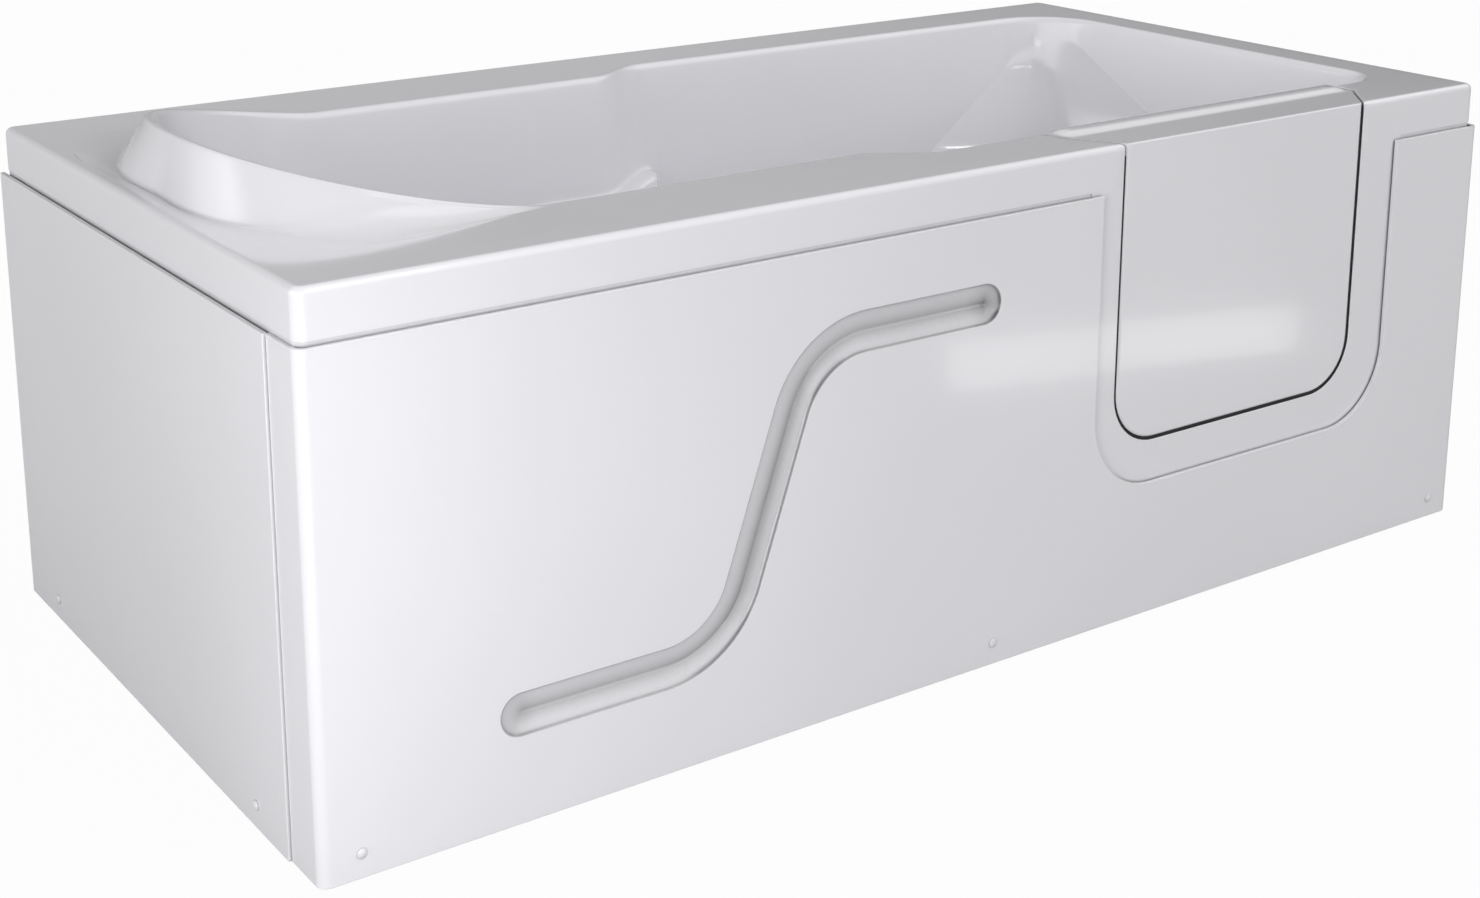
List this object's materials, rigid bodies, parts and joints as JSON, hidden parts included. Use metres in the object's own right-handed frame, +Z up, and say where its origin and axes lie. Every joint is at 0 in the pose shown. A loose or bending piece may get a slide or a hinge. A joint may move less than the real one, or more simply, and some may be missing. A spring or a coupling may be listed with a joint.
{
  "type": "walk-in bathtub with door",
  "caption": "White acrylic walk-in bathtub with an inward-opening door, a raised headrest collar, an S-shaped groove in its front panel and a steel frame on levelling feet.",
  "frame": {"origin": "on the floor under the middle of the footprint", "axes": "+X towards the foot end, the end the door is near; +Y from the front panel towards the wall; +Z up"},
  "size_m": [1.707, 0.8535, 0.6661],
  "materials": {
    "acrylic": "high gloss moulded acrylic",
    "panel": "high gloss acrylic sheet",
    "cap": "gloss",
    "galvanised": "zinc plated",
    "stainless": "satin",
    "chrome": "polished plate",
    "rubber": "matt black",
    "timber": "raw softwood",
    "chipboard": "raw board",
    "pvc": "white plumbing plastic",
    "housing": "dark moulded plastic"
  },
  "bodies": {
    "bath": {"bath_shell": "acrylic", "base_board": "chipboard", "long_rails": "galvanised", "cross_members": "galvanised", "frame_posts": "galvanised", "frame_nuts": "galvanised", "rim_battens": "timber", "panel_top_battens": "timber", "floor_battens": "timber", "front_panel": "panel", "head_end_panel": "panel", "foot_end_panel": "panel", "panel_screws": "stainless", "screw_caps": "cap", "shell_hinge_leaves": "stainless", "hinge_pins": "stainless", "shell_hinge_screws": "stainless", "latch_keep": "stainless", "waste_flange": "chrome", "waste_washer": "rubber", "waste_body": "pvc", "bath_trap": "pvc", "overflow_plate": "chrome", "overflow_washer": "rubber", "overflow_body": "pvc", "overflow_pipe": "pvc", "control_cable": "rubber"},
    "door": {"door_outer_skin": "acrylic", "door_inner_skin": "acrylic", "door_frame": "galvanised", "door_seal": "rubber", "door_hinge_leaves": "stainless", "door_hinge_screws": "stainless", "latch_housing": "housing"},
    "latch": {"latch_spindle": "stainless", "latch_tongue": "stainless", "latch_handle": "chrome"},
    "plug": {"waste_plug": "chrome"},
    "knob": {"overflow_knob": "chrome"},
    "foot_1": {"foot_1": "galvanised"},
    "foot_2": {"foot_2": "galvanised"},
    "foot_3": {"foot_3": "galvanised"},
    "foot_4": {"foot_4": "galvanised"},
    "foot_5": {"foot_5": "galvanised"},
    "foot_6": {"foot_6": "galvanised"}
  },
  "joints": [
    {"name": "door_swing", "type": "hinge", "parent": "bath", "child": "door", "pos_m": [0.6735, -0.3107, 0.4075], "axis": [0, 0, -1], "range_deg": [0, 90]},
    {"name": "latch_turn", "type": "hinge", "parent": "door", "child": "latch", "pos_m": [0.2155, -0.318, 0.477], "axis": [0, -1, 0], "range_deg": [0, 90]},
    {"name": "knob_turn", "type": "hinge", "parent": "bath", "child": "knob", "pos_m": [0.095, -0.318, 0.525], "axis": [0, 1, 0], "range_deg": [0, 90]},
    {"name": "plug_lift", "type": "slide", "parent": "bath", "child": "plug", "axis": [0, 0, 1], "range_m": [0, 0.01]},
    {"name": "foot_1_level", "type": "slide", "parent": "bath", "child": "foot_1", "axis": [0, 0, 1], "range_m": [-0.02, 0]},
    {"name": "foot_2_level", "type": "slide", "parent": "bath", "child": "foot_2", "axis": [0, 0, 1], "range_m": [-0.02, 0]},
    {"name": "foot_3_level", "type": "slide", "parent": "bath", "child": "foot_3", "axis": [0, 0, 1], "range_m": [-0.02, 0]},
    {"name": "foot_4_level", "type": "slide", "parent": "bath", "child": "foot_4", "axis": [0, 0, 1], "range_m": [-0.02, 0]},
    {"name": "foot_5_level", "type": "slide", "parent": "bath", "child": "foot_5", "axis": [0, 0, 1], "range_m": [-0.02, 0]},
    {"name": "foot_6_level", "type": "slide", "parent": "bath", "child": "foot_6", "axis": [0, 0, 1], "range_m": [-0.02, 0]}
  ],
  "couplings": [
    {"joint": "plug_lift", "follows": "knob_turn", "m_per_rad": 0.0063662}
  ]
}
